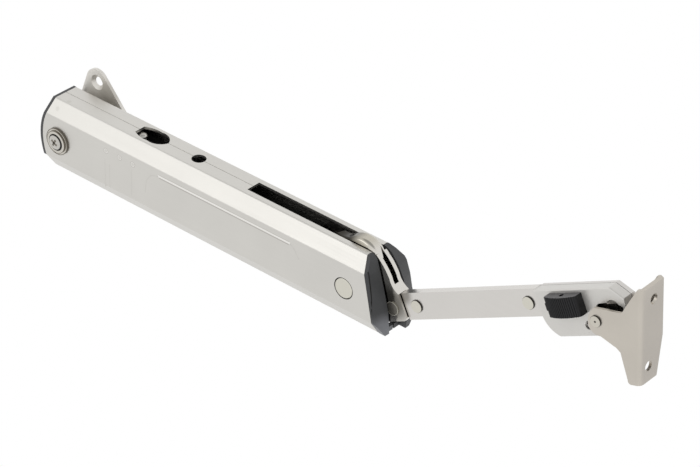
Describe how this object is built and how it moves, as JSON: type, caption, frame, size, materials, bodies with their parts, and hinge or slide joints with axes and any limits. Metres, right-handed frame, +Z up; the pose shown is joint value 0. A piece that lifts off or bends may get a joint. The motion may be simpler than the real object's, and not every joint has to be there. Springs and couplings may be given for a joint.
{
  "type": "folding lid stay",
  "caption": "Spring lid stay: a faceted steel case swinging on a wall bracket, a folding arm, a locking body with release button and a bracket for the lid.",
  "frame": {"origin": "where the case's pivot axis meets the wall face of the base bracket", "axes": "+X along the case from the pivot to the arm, +Z up, +Y into the wall, so the object lies on the -Y side"},
  "size_m": [0.4116, 0.0339, 0.117],
  "materials": {
    "case_steel": "satin stainless sheet",
    "satin_steel": "satin steel",
    "warm_steel": "satin nickel",
    "screw_steel": "bright plated",
    "dark_steel": "oiled dark steel",
    "spring_steel": "drawn wire",
    "dark_plastic": "fine textured moulding",
    "black_plastic": "moulded",
    "button_plastic": "ribbed moulding"
  },
  "bodies": {
    "base": {"base_bracket": "warm_steel", "pivot_bush": "satin_steel", "pivot_collar": "satin_steel", "pivot_screw": "screw_steel", "rear_washer": "black_plastic"},
    "case": {"front_shell": "case_steel", "rear_shell": "case_steel", "left_end_cap": "dark_plastic", "right_cap_front": "dark_plastic", "right_cap_rear": "dark_plastic", "main_pin": "satin_steel", "pin_ring_front": "dark_steel", "pin_ring_rear": "dark_steel", "hub_spacer_front": "dark_steel", "hub_spacer_rear": "dark_steel", "pivot_spacer": "satin_steel", "spring_channel": "black_plastic", "spring_seat": "black_plastic", "seat_screw": "screw_steel", "guide_rod": "satin_steel", "drive_spring": "spring_steel"},
    "slider": {"slider_fork": "black_plastic"},
    "arm": {"arm": "satin_steel", "cam_front": "satin_steel", "cam_rear": "satin_steel", "tip_rivet": "satin_steel", "link_bar": "dark_steel", "link_channel": "satin_steel", "link_rivet_lower": "satin_steel", "link_rivet_upper": "satin_steel", "lock_shell_front": "satin_steel", "lock_shell_rear": "satin_steel", "lock_spacer_lower": "satin_steel", "lock_spacer_upper": "satin_steel", "hinge_collar_front": "satin_steel", "hinge_collar_rear": "satin_steel"},
    "button": {"release_button": "button_plastic", "latch_plate": "satin_steel", "stop_stud": "satin_steel"},
    "lid": {"lid_bracket": "warm_steel", "hinge_pin": "satin_steel"}
  },
  "joints": [
    {"name": "case_swing", "type": "hinge", "parent": "base", "child": "case", "pos_m": [0, -0.0172, 0], "axis": [0, -1, 0], "range_deg": [-45, 60]},
    {"name": "arm_swing", "type": "hinge", "parent": "case", "child": "arm", "pos_m": [0.2127, -0.0172, 0], "axis": [0, -1, 0], "range_deg": [0, 135]},
    {"name": "slider_slide", "type": "slide", "parent": "case", "child": "slider", "axis": [1, 0, 0], "range_m": [0, 0.01141], "deforming": ["drive_spring"]},
    {"name": "button_slide", "type": "slide", "parent": "arm", "child": "button", "axis": [-0.8894, 0, -0.4571], "range_m": [0, 0.003]},
    {"name": "lid_swing", "type": "hinge", "parent": "arm", "child": "lid", "pos_m": [0.36827, -0.0172, 0.05295], "axis": [0, -1, 0], "range_deg": [-70, 80]}
  ],
  "couplings": [
    {"joint": "slider_slide", "follows": "arm_swing", "m_per_rad": 0.0048383}
  ]
}
